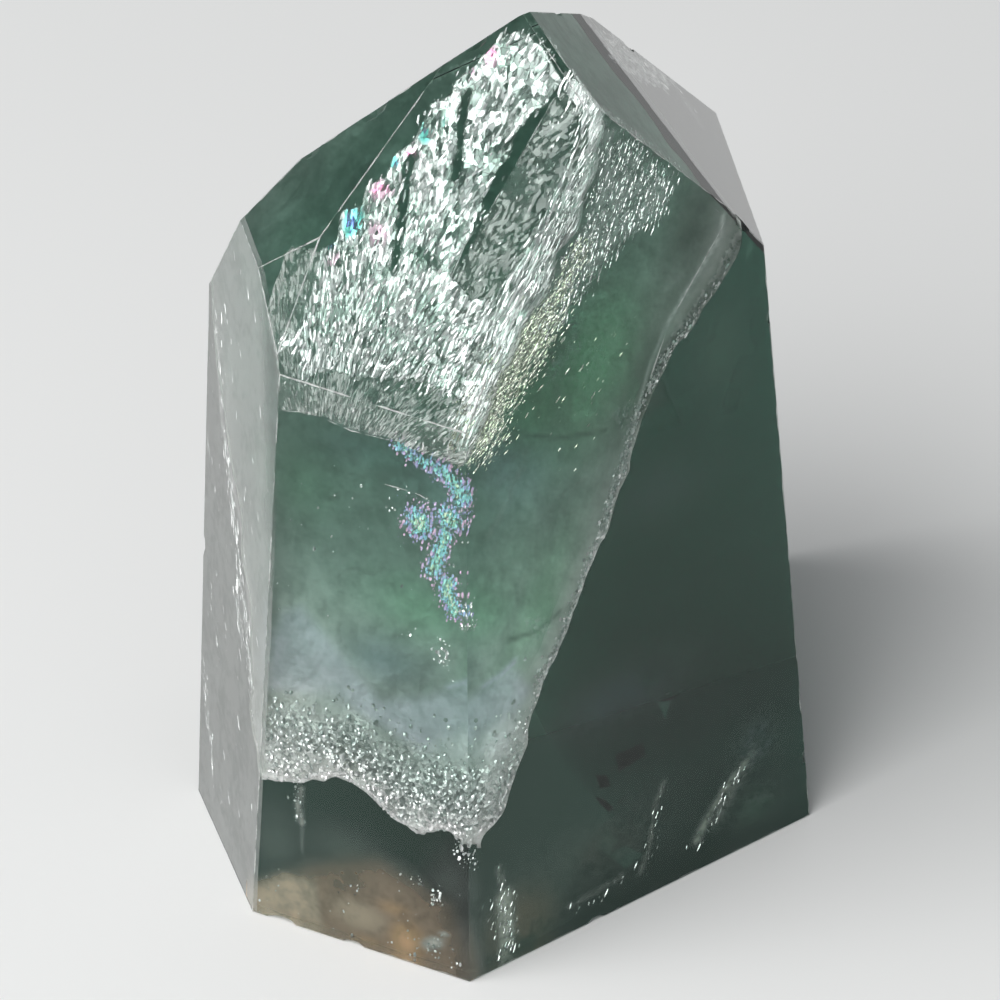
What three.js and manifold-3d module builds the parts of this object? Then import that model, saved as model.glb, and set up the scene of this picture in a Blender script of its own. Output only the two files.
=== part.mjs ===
// A polished fluorite point: one piece of clear green fluorite, sawn off flat underneath, ground to
// six side faces and brought to an off-centre tip by ten crown facets.
//
// It is made as a lapidary makes it. A rough block is laid on the lap once for each facet, and each
// pass takes away everything outside one plane. Small chips are then struck from the arrises, the
// sharp edges where two facets meet.
//
// Millimetres, +Z up. The sawn base lies on z = 0, and the origin is the middle of the outline.

import * as THREE from "three";
import { mergeVertices } from "three/addons/utils/BufferGeometryUtils.js";
import Module from "manifold-3d";

const wasm = await Module();
wasm.setup();

// ---- Driving dimensions ----------------------------------------------------------------------

const BLOCK_WIDTH = 70; // the rough block, larger than the point on every side
const BLOCK_HEIGHT = 90;

// Each facet is one flat: azimuth is the way it faces, in degrees anticlockwise from +X seen from
// above, lean is how far it is tipped back from upright, and reach is how far its plane lies from
// the origin, measured square to the facet.
const SIDES = {
  left: { azimuth: 197.5, lean: 3.4, reach: 21.9 },
  frontLeft: { azimuth: 243.4, lean: 1.8, reach: 23.0 },
  right: { azimuth: 307.3, lean: 1.8, reach: 18.1 },
  backRight: { azimuth: 6.1, lean: 5.3, reach: 21.1 },
  back: { azimuth: 109.6, lean: 3.3, reach: 16.9 },
  backLeft: { azimuth: 158.8, lean: 0.9, reach: 19.3 },
};
const CROWN = {
  window: { azimuth: 244.1, lean: 25.6, reach: 39.2 }, // the large front facet
  shoulder: { azimuth: 205.3, lean: 35.2, reach: 45.1 },
  shoulderCorner: { azimuth: 216.0, lean: 27.1, reach: 40.6 },
  ridgeBevel: { azimuth: 271.4, lean: 45.1, reach: 58.0 }, // the narrow flat along the ridge
  ridgeStrip: { azimuth: 7.8, lean: 39.1, reach: 44.7 },
  rightCap: { azimuth: 15.5, lean: 35.1, reach: 40.9 },
  leftCap: { azimuth: 138.2, lean: 32.8, reach: 35.2 },
  backCapLeft: { azimuth: 137.5, lean: 44.5, reach: 43.4 },
  backCapTop: { azimuth: 121.4, lean: 45.7, reach: 43.3 },
  backCapRight: { azimuth: 109.8, lean: 37.2, reach: 37.1 },
};
const BASE = { azimuth: 0, lean: -90, reach: 0 }; // faces straight down
const FACETS = { ...SIDES, ...CROWN, base: BASE };

// Each chip is a shallow scallop out of the arris between two facets. It sits where that arris
// crosses one level: a height z, or a place x along the base.
const CHIPS = [
  { between: ["shoulder", "backCapLeft"], level: { z: 61.8 }, size: 1.3 },
  { between: ["shoulder", "backCapLeft"], level: { z: 57.4 }, size: 0.9 },
  { between: ["window", "backCapLeft"], level: { z: 68.2 }, size: 0.9 },
  { between: ["ridgeStrip", "backCapTop"], level: { z: 67.6 }, size: 0.7 },
  { between: ["rightCap", "backCapRight"], level: { z: 57.0 }, size: 1.2 },
  { between: ["rightCap", "right"], level: { z: 52.6 }, size: 1.1 },
  { between: ["right", "backRight"], level: { z: 44.0 }, size: 0.6 },
  { between: ["right", "backRight"], level: { z: 5.4 }, size: 0.6 },
  { between: ["left", "backLeft"], level: { z: 21.0 }, size: 0.8 },
  { between: ["back", "backRight"], level: { z: 30.0 }, size: 0.9 },
  { between: ["back", "backLeft"], level: { z: 12.0 }, size: 0.8 },
  { between: ["frontLeft", "base"], level: { x: -15.6 }, size: 1.1 },
  { between: ["frontLeft", "base"], level: { x: -10.5 }, size: 0.8 },
  { between: ["right", "base"], level: { x: 6.5 }, size: 0.7 },
  { between: ["back", "base"], level: { x: 3.0 }, size: 1.0 },
];
const CHIP_LENGTH = 1.5; // of a chip along its arris, in chip sizes
const CHIP_DEPTH = 0.35; // how far a chip bites past its arris, in chip sizes
const CHIP_ROUNDNESS = 1; // subdivisions of the scallop
const CHIP_TURN = 0.9; // radians between one chip's facets and the next one's

// ---- Solids ----------------------------------------------------------------------------------

// A closed three.js geometry as a manifold-3d solid.
function solidFrom(geometry) {
  const bare = geometry.clone();
  bare.deleteAttribute("normal");
  bare.deleteAttribute("uv");
  const merged = mergeVertices(bare, 1e-5);
  const vertProperties = new Float32Array(merged.attributes.position.array);
  const triVerts = new Uint32Array(merged.index.array);
  return new wasm.Manifold(new wasm.Mesh({ numProp: 3, vertProperties, triVerts }));
}

// A manifold-3d solid as a three.js geometry.
function geometryFrom(solid) {
  const mesh = solid.getMesh();
  const geometry = new THREE.BufferGeometry();
  geometry.setAttribute("position", new THREE.BufferAttribute(mesh.vertProperties, mesh.numProp));
  geometry.setIndex(new THREE.BufferAttribute(mesh.triVerts, 1));
  return geometry;
}

// The direction that a facet faces.
function facing({ azimuth, lean }) {
  const turn = THREE.MathUtils.degToRad(azimuth);
  const tip = THREE.MathUtils.degToRad(lean);
  return new THREE.Vector3(
    Math.cos(turn) * Math.cos(tip),
    Math.sin(turn) * Math.cos(tip),
    Math.sin(tip),
  );
}

// Everything outside one facet: a box larger than the block, with its inner side on the facet.
function outside(facet) {
  const size = 2 * BLOCK_HEIGHT;
  const normal = facing(facet);
  const box = new THREE.BoxGeometry(size, size, size);
  box.applyQuaternion(
    new THREE.Quaternion().setFromUnitVectors(new THREE.Vector3(0, 0, 1), normal),
  );
  const middle = normal.multiplyScalar(facet.reach + size / 2);
  box.translate(middle.x, middle.y, middle.z);
  return solidFrom(box);
}

// The point where three planes meet, each given by its normal and its distance from the origin.
function meeting(planes) {
  const [a, b, c] = planes.map((plane) => plane.normal);
  const bc = b.clone().cross(c);
  const ca = c.clone().cross(a);
  const ab = a.clone().cross(b);
  return bc
    .multiplyScalar(planes[0].distance)
    .add(ca.multiplyScalar(planes[1].distance))
    .add(ab.multiplyScalar(planes[2].distance))
    .divideScalar(a.dot(b.clone().cross(c)));
}

// The scallop that one chip leaves: a faceted ball, stretched along the arris and sunk into it.
function scallop(chip, index) {
  const facets = chip.between.map((name) => FACETS[name]);
  const normals = facets.map(facing);
  const level =
    "z" in chip.level
      ? { normal: new THREE.Vector3(0, 0, 1), distance: chip.level.z }
      : { normal: new THREE.Vector3(1, 0, 0), distance: chip.level.x };
  const planes = facets.map((facet, i) => ({ normal: normals[i], distance: facet.reach }));
  const onArris = meeting([...planes, level]);
  const outward = normals[0].clone().add(normals[1]).normalize();
  const along = normals[0].clone().cross(normals[1]).normalize();
  const across = outward.clone().cross(along);

  const ball = new THREE.IcosahedronGeometry(chip.size, CHIP_ROUNDNESS);
  ball.rotateX(index * CHIP_TURN);
  ball.scale(CHIP_LENGTH, 1, 1);
  ball.applyMatrix4(new THREE.Matrix4().makeBasis(along, across, outward));
  const middle = onArris.addScaledVector(outward, chip.size * (1 - CHIP_DEPTH));
  ball.translate(middle.x, middle.y, middle.z);
  return solidFrom(ball);
}

// ---- The point -------------------------------------------------------------------------------

function makePoint() {
  const block = new THREE.BoxGeometry(BLOCK_WIDTH, BLOCK_WIDTH, 2 * BLOCK_HEIGHT);
  let stone = solidFrom(block);
  for (const facet of Object.values(FACETS)) stone = stone.subtract(outside(facet));
  CHIPS.forEach((chip, index) => {
    stone = stone.subtract(scallop(chip, index));
  });

  const geometry = geometryFrom(stone);
  geometry.computeBoundingBox();
  const middle = geometry.boundingBox.getCenter(new THREE.Vector3());
  geometry.translate(-middle.x, -middle.y, 0);

  const fluorite = new THREE.MeshStandardMaterial({
    name: "green fluorite",
    color: 0x3c5a50,
    roughness: 0.05,
    metalness: 0,
    flatShading: true,
  });
  const mesh = new THREE.Mesh(geometry, fluorite);
  mesh.name = "fluorite_point";
  return mesh;
}

const part = new THREE.Group();
part.name = "fluorite point";
part.add(makePoint());

export default part;
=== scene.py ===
# %% [markdown]
# # A polished fluorite point, looked into
#
# The real object is one piece of clear green fluorite, cut into a leaning six-sided
# point. Almost all of its looks are inside it: one large old crack crosses the whole
# stone, a thin silvery crack lies just under the big front crown facet, and small
# flakes, rusty stain and cloud hang in between. So the stone is made as real glass
# with colour in its volume, and every crack is a sheet of its own inside it.
#
# Everything is in metres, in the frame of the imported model, so nothing is fitted here.

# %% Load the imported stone
import math

import bmesh
import bpy
import numpy as np
from mathutils import Euler, Matrix, Vector, noise
from mathutils.bvhtree import BVHTree


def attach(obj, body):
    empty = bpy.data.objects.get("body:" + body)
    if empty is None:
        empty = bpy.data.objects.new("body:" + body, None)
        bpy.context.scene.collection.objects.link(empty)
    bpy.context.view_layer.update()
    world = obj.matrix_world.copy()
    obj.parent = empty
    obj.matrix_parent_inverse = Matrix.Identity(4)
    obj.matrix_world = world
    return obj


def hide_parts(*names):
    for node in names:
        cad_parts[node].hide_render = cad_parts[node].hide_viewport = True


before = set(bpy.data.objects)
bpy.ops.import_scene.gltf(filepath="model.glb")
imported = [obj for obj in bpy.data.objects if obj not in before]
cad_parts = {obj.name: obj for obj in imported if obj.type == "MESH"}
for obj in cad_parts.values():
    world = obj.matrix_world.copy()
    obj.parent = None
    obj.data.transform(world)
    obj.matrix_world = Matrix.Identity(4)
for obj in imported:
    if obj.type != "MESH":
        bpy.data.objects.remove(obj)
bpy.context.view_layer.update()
MM = 0.001  # one millimetre in Blender's metres
STONE = "fluorite_point"

# %% [markdown]
# ## Where the eye is
#
# The lens looks along +Y and 36 degrees down, from 45 cm away. It is a long lens, so
# the stone's upright edges stay almost parallel. The same numbers let the script ask
# which spot of the stone lies behind a point of the 1000 x 1000 view.

# %% Camera
EYE_TARGET = Vector((-0.239, -10.391, 31.0)) * MM
EYE_HEIGHT_ANGLE = math.radians(36.0)
EYE_DISTANCE = 450 * MM
VIEW_SIDE = 1000  # points along each side of the view
FOCAL_POINTS = 6578.95  # focal length, counted in those points
SENSOR = 36.0  # mm
CLOSEST, FARTHEST = 0.01, 20


def add_object(name, data):
    made = bpy.data.objects.new(name, data)
    bpy.context.scene.collection.objects.link(made)
    return made


def make_camera():
    data = bpy.data.cameras.new("eye")
    data.sensor_width = SENSOR
    data.lens = FOCAL_POINTS / VIEW_SIDE * SENSOR
    data.clip_start = CLOSEST
    data.clip_end = FARTHEST
    eye = add_object("eye", data)
    back = Vector((0, -math.cos(EYE_HEIGHT_ANGLE), math.sin(EYE_HEIGHT_ANGLE)))
    eye.location = EYE_TARGET + back * EYE_DISTANCE
    eye.rotation_euler = Euler((math.pi / 2 - EYE_HEIGHT_ANGLE, 0, 0))
    bpy.context.scene.camera = eye
    bpy.context.view_layer.update()
    return eye


eye = make_camera()
print("camera at, mm:", [round(v / MM, 1) for v in eye.location])

# %% [markdown]
# ## Node trees as Python
#
# Shader maths soon becomes a tangle of nodes. One small class wraps an output socket
# and overloads + - * and **, so a mask reads as a formula. Any other node comes from
# one method, `node`, which sets a node's settings first and its sockets second. The
# same class fills the Geometry Nodes trees further down.


# %% Sockets that Python's operators work on
class Wire:
    """An output socket of a node."""

    def __init__(self, maker, socket):
        self.maker = maker
        self.socket = socket

    def __add__(self, value):
        return self.maker.maths("ADD", self, value)

    def __radd__(self, value):
        return self.maker.maths("ADD", value, self)

    def __sub__(self, value):
        return self.maker.maths("SUBTRACT", self, value)

    def __rsub__(self, value):
        return self.maker.maths("SUBTRACT", value, self)

    def __mul__(self, value):
        return self.maker.maths("MULTIPLY", self, value)

    def __rmul__(self, value):
        return self.maker.maths("MULTIPLY", value, self)

    def __pow__(self, value):
        return self.maker.maths("POWER", self, value)

    def other(self, name):
        """Another output of the node this wire comes from."""
        return Wire(self.maker, self.socket.node.outputs[name])


print("sockets can be added, subtracted, multiplied and raised to a power")


# %% One way to write every node tree
def pick(sockets, key):
    """A socket by number or name. Where several share a name, the one in use."""
    if isinstance(key, int):
        return sockets[key]
    named = [s for s in sockets if key in (s.identifier, s.name)]
    return ([s for s in named if s.enabled] or named)[0]


def set_stops(ramp, stops):
    ramp.elements.remove(ramp.elements[-1])
    ramp.elements[0].position, ramp.elements[0].color = stops[0]
    for position, colour in stops[1:]:
        ramp.elements.new(position).color = colour


class Maker:
    """Fills one node tree."""

    def __init__(self, tree):
        self.tree = tree
        tree.nodes.clear()

    def node(self, kind, sockets=(), out=0, stops=None, **settings):
        """Add one node, its settings first, and hand back one of its outputs."""
        made = self.tree.nodes.new(kind)
        for name, value in settings.items():
            setattr(made, name, value)
        if stops:
            set_stops(made.color_ramp, stops)
        pairs = sockets.items() if isinstance(sockets, dict) else enumerate(sockets)
        for key, value in pairs:
            socket = pick(made.inputs, key)
            if isinstance(value, Wire):
                self.tree.links.new(value.socket, socket)
            else:
                socket.default_value = value
        outputs = [s for s in made.outputs if s.enabled] or list(made.outputs)
        return Wire(self, pick(outputs, out) if outputs else None)

    def maths(self, operation, *values):
        return self.node("ShaderNodeMath", values, operation=operation)

    def vector(self, operation, *values):
        return self.node("ShaderNodeVectorMath", values, operation=operation)

    def scaled(self, vector, factor):
        sockets = {"Vector": vector, "Scale": factor}
        return self.node("ShaderNodeVectorMath", sockets, operation="SCALE")

    def larger(self, a, b):
        return self.maths("MAXIMUM", a, b)

    def between(self, value, low, high):
        """0 below low, 1 above high, smooth in between; falls if low > high."""
        a, b = sorted((low, high))
        sockets = {"Value": value, "From Min": a, "From Max": b}
        made = self.node("ShaderNodeMapRange", sockets, interpolation_type="SMOOTHSTEP")
        return 1 - made if low > high else made

    def mix(self, factor, a, b, blend="MIX"):
        """Colour a where factor is 0, colour b where it is 1."""
        sockets = {0: factor, 6: a, 7: b}
        return self.node("ShaderNodeMix", sockets, "Result", data_type="RGBA", blend_type=blend)

    def noise(self, vector, scale, detail=3.0, roughness=0.5, out="Fac", **settings):
        sockets = {"Vector": vector, "Scale": scale, "Detail": detail, "Roughness": roughness}
        return self.node("ShaderNodeTexNoise", sockets, out, **settings)

    def attribute(self, name):
        return self.node("ShaderNodeAttribute", (), "Fac", attribute_name=name)

    def flat_map(self, name):
        return self.node("ShaderNodeUVMap", uv_map=name)

    def place(self, unit=None):
        """Object coordinates, in metres or in a given unit."""
        place = self.node("ShaderNodeTexCoord", (), "Object")
        return self.stretch(place, (1 / unit,) * 3) if unit else place

    def stretch(self, vector, scale):
        return self.node("ShaderNodeMapping", {"Vector": vector, "Scale": scale})

    def bump(self, height, strength=1.0, distance=MM):
        sockets = {"Height": height, "Strength": strength, "Distance": distance}
        return self.node("ShaderNodeBump", sockets)

    def absorb(self, colour, density):
        return self.node("ShaderNodeVolumeAbsorption", {"Color": colour, "Density": density})

    def surface(self, sockets, volume=None):
        """The one main shader and, where there is one, a volume, joined to the output."""
        ends = {"Surface": self.node("ShaderNodeBsdfPrincipled", sockets)}
        if volume:
            ends["Volume"] = volume
        self.node("ShaderNodeOutputMaterial", ends)


def new_material(name):
    material = bpy.data.materials.new(name)
    material.use_nodes = True
    return material, Maker(material.node_tree)


print("node helpers ready")


# %% Patterns that several finishes share
def wavy(make, vector, scale, amount):
    """The same coordinates, pushed about by a slow noise."""
    push = make.noise(vector, scale, 1.0, out="Color", noise_dimensions="2D")
    push = make.vector("SUBTRACT", push, (0.5, 0.5, 0.5))
    return make.vector("ADD", vector, make.vector("MULTIPLY", push, (amount, amount, amount)))


def scales(make, vector, size, lean, mess):
    """Small flat scales that each lean their own way.

    Gives their height, a random number for each, and how far a place is from its seam.
    The vector is a flat map in mm, and the height is in mm. Lean is the slope all scales
    share, and mess is how much one differs from the next."""
    sockets = {"Vector": vector, "Scale": 1 / size}
    flat = {"voronoi_dimensions": "2D"}
    centre = make.node("ShaderNodeTexVoronoi", sockets, "Position", **flat)
    chance = centre.other("Color")
    own = make.vector("MULTIPLY", make.vector("SUBTRACT", chance, (0.5, 0.5, 0.5)), mess)
    slope = make.vector("ADD", own, lean)
    offset = make.vector("SUBTRACT", vector, centre)
    dot = {"operation": "DOT_PRODUCT"}
    height = make.node("ShaderNodeVectorMath", (offset, slope), "Value", **dot)
    seam = make.node("ShaderNodeTexVoronoi", sockets, feature="DISTANCE_TO_EDGE", **flat)
    return height, make.node("ShaderNodeSeparateColor", (chance,), "Green"), seam


def rainbow(make, colour, shade):
    """Tint a colour where the ground is painted pink or blue."""
    pink = make.between(make.attribute("pink") + (shade - 0.5) * 0.5, 0.3, 0.65)
    blue = make.between(make.attribute("blue") + (shade - 0.5) * 0.5, 0.3, 0.65)
    pale = make.between(shade, 0.35, 0.6)
    cool = make.mix(pale, (0.30, 0.45, 1.0, 1), (0.30, 0.95, 0.85, 1))
    warm = make.mix(pale, (1.0, 0.40, 0.62, 1), (1.0, 0.72, 0.85, 1))
    return make.mix(pink, make.mix(blue, colour, cool), warm)


print("scales and rainbow tints ready")

# %% [markdown]
# ## Floor, sky and lamp
#
# A clear stone shows what surrounds it, so the studio is part of its looks. The floor
# is plain and pale. One very large soft panel stands to the left and front: it lights
# the crack sheets, which throw it back at the eye. The sky is a dim even grey.


# %% Floor and sky
FLOOR_DROP = 0.1 * MM  # a thin gap of air under the stone, so its base mirrors inside
FLOOR_REACH = 4.0
SKY_STRENGTH = 0.25


def make_floor():
    material, make = new_material("pale_floor")
    grain = make.noise(make.place(), 9.0, 2.0)
    colour = make.mix(grain, (0.80, 0.80, 0.79, 1), (0.84, 0.84, 0.83, 1))
    make.surface({"Base Color": colour, "Roughness": 0.9})
    mesh = bpy.data.meshes.new("floor")
    ways = [(-1, -1), (1, -1), (1, 1), (-1, 1)]
    corners = [(x * FLOOR_REACH, y * FLOOR_REACH, -FLOOR_DROP) for x, y in ways]
    mesh.from_pydata(corners, [], [(0, 1, 2, 3)])
    mesh.materials.append(material)
    floor = add_object("floor", mesh)


def make_sky(strength):
    world = bpy.data.worlds.new("soft_sky")
    bpy.context.scene.world = world
    world.use_nodes = True
    make = Maker(world.node_tree)
    light = {"Color": (0.93, 0.97, 1.0, 1), "Strength": strength}
    make.node("ShaderNodeOutputWorld", {"Surface": make.node("ShaderNodeBackground", light)})


make_floor()
make_sky(SKY_STRENGTH)
bpy.context.scene.view_settings.view_transform = "Standard"
print("floor and sky ready")


# %% Soft panel
def direction(azimuth, lean):
    """A direction by its azimuth, anticlockwise from +X, and its lean up, in degrees."""
    around = math.radians(azimuth)
    up = math.radians(lean)
    level = math.cos(up)
    return Vector((math.cos(around) * level, math.sin(around) * level, math.sin(up)))


def make_panel(name, azimuth, lean, distance, width, tall, radiance):
    """A soft panel that looks at the stone."""
    out = direction(azimuth, lean)
    data = bpy.data.lights.new(name, "AREA")
    data.shape = "RECTANGLE"
    data.size = width
    data.size_y = tall
    data.energy = radiance * math.pi * width * tall
    panel = add_object(name, data)
    panel.location = EYE_TARGET + out * distance
    panel.rotation_euler = out.to_track_quat("Z", "Y").to_euler()


make_panel(
    "key_panel", azimuth=222, lean=50, distance=0.75, width=0.80, tall=0.55, radiance=5.1
)
print("panel ready")

# %% [markdown]
# ## Looking into the stone
#
# To put a flake or a stain where it belongs, the script follows a line of sight from
# the eye to the stone's skin, bends it by Snell's law, and goes on inside until a given
# depth or a given plane. Placing things by eye would also do, but they would slide as
# soon as the camera moved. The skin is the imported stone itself, so everything found this
# way sits right from every side.

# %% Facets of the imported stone
IOR = 1.434  # fluorite
LEAST_FACET = 4 * MM * MM
BASE_LEAN = -0.9  # a normal that points down further than this is the base's
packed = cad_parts[STONE]
skin_tree = BVHTree.FromPolygons(
    [v.co.copy() for v in packed.data.vertices],
    [tuple(p.vertices) for p in packed.data.polygons],
)


def find_facets(mesh, least_area):
    """The flat faces, largest first, as (outward normal, distance from the origin)."""
    found = {}
    for face in mesh.polygons:
        reach = face.normal.dot(mesh.vertices[face.vertices[0]].co)
        key = tuple(round(c, 2) for c in face.normal) + (round(reach / MM, 1),)
        total, normal, far = found.get(key, (0.0, Vector(), 0.0))
        share = face.area
        found[key] = (total + share, normal + face.normal * share, far + reach * share)
    large = [f for f in found.values() if f[0] > least_area]
    large.sort(key=lambda f: -f[0])
    return [(normal.normalized(), far / total) for total, normal, far in large]


facets = find_facets(packed.data, LEAST_FACET)
print("facets found:", len(facets))


# %% Lines of sight
def sight(across, down):
    """The line of sight through one point of the view."""
    half = VIEW_SIDE / 2
    turned = Vector(((across - half) / FOCAL_POINTS, (half - down) / FOCAL_POINTS, -1))
    return eye.location.copy(), (eye.matrix_world.to_3x3() @ turned).normalized()


def bend(ray, normal, ratio):
    """Snell's law, for a ray that meets a face with that outward normal."""
    towards = -ray.dot(normal)
    inside = 1 - ratio * ratio * (1 - towards * towards)
    return (ratio * ray + (ratio * towards - math.sqrt(inside)) * normal).normalized()


def on_surface(across, down):
    """The spot of the stone's skin behind a point of the view, and its normal."""
    start, ray = sight(across, down)
    spot, normal, _, _ = skin_tree.ray_cast(start, ray)
    if spot is None:
        return None, None
    return spot, (normal if normal.dot(ray) < 0 else -normal)


def look_in(across, down):
    """The spot on the skin, and the bent ray that goes on inside.

    A line of sight that misses the stone goes straight on."""
    start, ray = sight(across, down)
    spot, normal = on_surface(across, down)
    if spot is None:
        return start, ray
    return spot, bend(ray, normal, 1 / IOR)


def below(across, down, depth):
    spot, ray = look_in(across, down)
    return spot + ray * depth


FRONT_ARRIS_MIDDLE = (466, 600)
corner = on_surface(*FRONT_ARRIS_MIDDLE)[0]
print("front edge at half height, mm:", [round(v / MM, 2) for v in corner])


# %% Shared mesh helpers
BASE_GAP = 0.004 * MM


def clip_to_stone(bm, inset):
    """Cut away what lies outside the stone, or closer to a facet than inset.

    A sheet runs right down to the base, so that the base mirrors it without a seam."""
    for normal, reach in facets:
        gap = inset if normal.z > BASE_LEAN else BASE_GAP
        every = bm.verts[:] + bm.edges[:] + bm.faces[:]
        spot = normal * (reach - gap)
        bmesh.ops.bisect_plane(bm, geom=every, plane_co=spot, plane_no=normal, clear_outer=True)


def press_inside(made, inset):
    """Push points that stick out of the stone, or nearly so, back under its facets."""
    for vert in made.data.vertices:
        for normal, reach in facets:
            over = vert.co.dot(normal) - (reach - inset)
            if over > 0:
                vert.co -= normal * over


def bake_modifiers(made):
    """Turn an object's modifiers into plain mesh."""
    graph = bpy.context.evaluated_depsgraph_get()
    graph.update()
    mesh = bpy.data.meshes.new_from_object(made.evaluated_get(graph))
    old = made.data
    made.modifiers.clear()
    made.data = mesh
    bpy.data.meshes.remove(old)


def finish_piece(made):
    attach(made, "root")
    triangles = sum(len(p.vertices) - 2 for p in made.data.polygons)
    print(made.name, triangles, "triangles")


print("mesh helpers ready")

# %% [markdown]
# ## The stone itself
#
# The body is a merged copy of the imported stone, so its facets are exact. Its sharp
# arrises get a small round, as a polishing wheel leaves them. The material is plain
# glass with fluorite's refractive index. Its green could be a tint on the surface, but
# then thin and thick places would look the same. It comes from absorption in the
# volume, so thin places are pale and deep places are nearly black.


# %% Body of clear fluorite
FLUORITE_GREEN = (0.02, 0.39, 0.27, 1)
FLUORITE_ABSORPTION = 80.0  # per metre
RIPPLE = 0.02 * MM
SAME_POINT = 0.002 * MM
SAME_FACE = math.radians(0.4)
ARRIS_ROUND = 0.12 * MM
ARRIS_TURN = math.radians(9)
SAME_WAY = 0.9995  # a face whose normal agrees this far with a facet's belongs to it
BASE_BAND = 0.3 * MM
CLOSE = 0.02 * MM


def fluorite_material():
    material, make = new_material("clear_fluorite")
    place = make.place()
    uneven = make.between(make.noise(place, 700, 1.0, 0.6), 0.40, 0.62)
    sockets = {
        "Base Color": (1, 1, 1, 1),
        "Roughness": make.attribute("worn") * uneven * 0.55,
        "IOR": IOR,
        "Transmission Weight": 1.0,
        "Normal": make.bump(make.noise(place, 1200, 0.0), 0.05, RIPPLE),
    }
    make.surface(sockets, make.absorb(FLUORITE_GREEN, FLUORITE_ABSORPTION))
    return material


def merged_stone():
    """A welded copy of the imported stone, with one face for each facet."""
    bm = bmesh.new()
    bm.from_mesh(packed.data)
    bmesh.ops.remove_doubles(bm, verts=bm.verts[:], dist=SAME_POINT)
    bmesh.ops.dissolve_limit(bm, angle_limit=SAME_FACE, verts=bm.verts[:], edges=bm.edges[:])
    return bm


def mark_arrises(body):
    """Write how worn each face is: 1 on the rounds, 0 on the polished facets and at the base."""
    worn = body.data.attributes.new("worn", "FLOAT", "FACE")
    for face in body.data.polygons:
        polished = any(
            face.normal.dot(normal) > SAME_WAY
            and abs(face.center.dot(normal) - reach) < CLOSE
            for normal, reach in facets + [(Vector((0, 0, -1)), 0.0)]
        )
        at_base = face.center.z < BASE_BAND
        worn.data[face.index].value = 0.0 if polished or at_base else 1.0


def make_body():
    bm = merged_stone()
    bmesh.ops.recalc_face_normals(bm, faces=bm.faces[:])
    mesh = bpy.data.meshes.new("stone")
    bm.to_mesh(mesh)
    bm.free()
    mesh.materials.append(fluorite_material())
    body = add_object("stone", mesh)
    bevel = body.modifiers.new("arris_wear_and_highlights", "BEVEL")
    bevel.width = ARRIS_ROUND
    bevel.segments = 2
    bevel.limit_method = "ANGLE"
    bevel.angle_limit = ARRIS_TURN
    bake_modifiers(body)
    body.data.shade_flat()
    mark_arrises(body)
    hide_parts(STONE)
    finish_piece(body)


make_body()

# %% [markdown]
# ## Painting by place
#
# Cloud, stain and streaks are soft shapes at known places. Each is one of three small
# brushes over a plane inside the stone: a blob, an area with a soft edge, or a stroke
# along a line. A picture could hold the same shapes, but a short list of brushes can be
# read and changed. A brush is given by points of the view. The script looks in through
# those points, finds the places on the plane, and measures every grid point against them.


# %% A plane inside the stone
class Plane:
    """A flat place inside the stone, with its own level and slope directions."""

    def __init__(self, normal, reach):
        self.normal = normal
        self.reach = reach
        self.level = Vector((0, 0, 1)).cross(normal).normalized()
        self.slope = normal.cross(self.level).normalized()

    def under(self, spot):
        """Place over the plane, in mm, of a spot in the stone."""
        return spot.dot(self.level) / MM, spot.dot(self.slope) / MM

    def at(self, across, down, bent=True):
        """Place over the plane, in mm, behind a point of the view."""
        start, ray = look_in(across, down) if bent else sight(across, down)
        far = (self.reach - start.dot(self.normal)) / ray.dot(self.normal)
        return self.under(start + ray * far)

    def way(self, start, end):
        """How far across and up the slope it is from one view point to another."""
        return np.subtract(self.at(*end), self.at(*start))

    def spot(self, u, v, lift=0.0):
        high = self.reach + lift * MM
        return self.normal * high + self.level * (u * MM) + self.slope * (v * MM)

    def leaned(self, up, side):
        """The plane's own facing, leaned up its slope and to its side, in degrees."""
        up_slope = self.slope * math.tan(math.radians(up))
        sideways = self.level * math.tan(math.radians(side))
        return (self.normal + up_slope + sideways).normalized()


def under_facet(facet_point, depth):
    """The plane that lies some millimetres under the facet behind a view point."""
    spot, normal = on_surface(*facet_point)
    return Plane(normal, spot.dot(normal) - depth * MM)


# One point of the view on each facet that something hangs behind.
FRONT_FACET = (380, 600)
RIGHT_FACET = (700, 600)
LEFT_FACET = (230, 500)
CAP_FACET = (690, 110)
print("planes ready")


# %% Brushes
FAR_AWAY = 1e9  # mm
NO_LENGTH = 1e-12  # keeps the division below safe where two points of a line coincide
NEARLY_LEVEL = 1e-9


def smooth(value, low, high):
    t = np.clip((value - low) / (high - low), 0, 1)
    return t * t * (3 - 2 * t)


def blob(across, down, wide, tall, strength=1.0, turn=0.0):
    """A soft oval. Wide and tall are in mm, turn is in degrees."""
    c, s = math.cos(math.radians(turn)), math.sin(math.radians(turn))

    def brush(plane, u, v):
        cu, cv = plane.at(across, down)
        x = ((u - cu) * c + (v - cv) * s) / wide
        y = ((v - cv) * c - (u - cu) * s) / tall
        return strength * np.exp(-(x * x + y * y))

    return brush


def line_distance(u, v, points, closed=False):
    """Distance to a line of points, and for a closed line whether a place is inside."""
    nearest = np.full(u.shape, FAR_AWAY)
    inside = np.zeros(u.shape, bool)
    ends = points[1:] + points[:1] if closed else points[1:]
    for (au, av), (bu, bv) in zip(points, ends):
        du, dv = bu - au, bv - av
        squared = du * du + dv * dv + NO_LENGTH
        t = np.clip(((u - au) * du + (v - av) * dv) / squared, 0, 1)
        nearest = np.minimum(nearest, np.hypot(u - au - t * du, v - av - t * dv))
        if closed:
            crosses = (av > v) != (bv > v)
            edge = au + (v - av) * du / (dv if abs(dv) > NEARLY_LEVEL else NEARLY_LEVEL)
            inside ^= crosses & (u < edge)
    return nearest, inside


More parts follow.
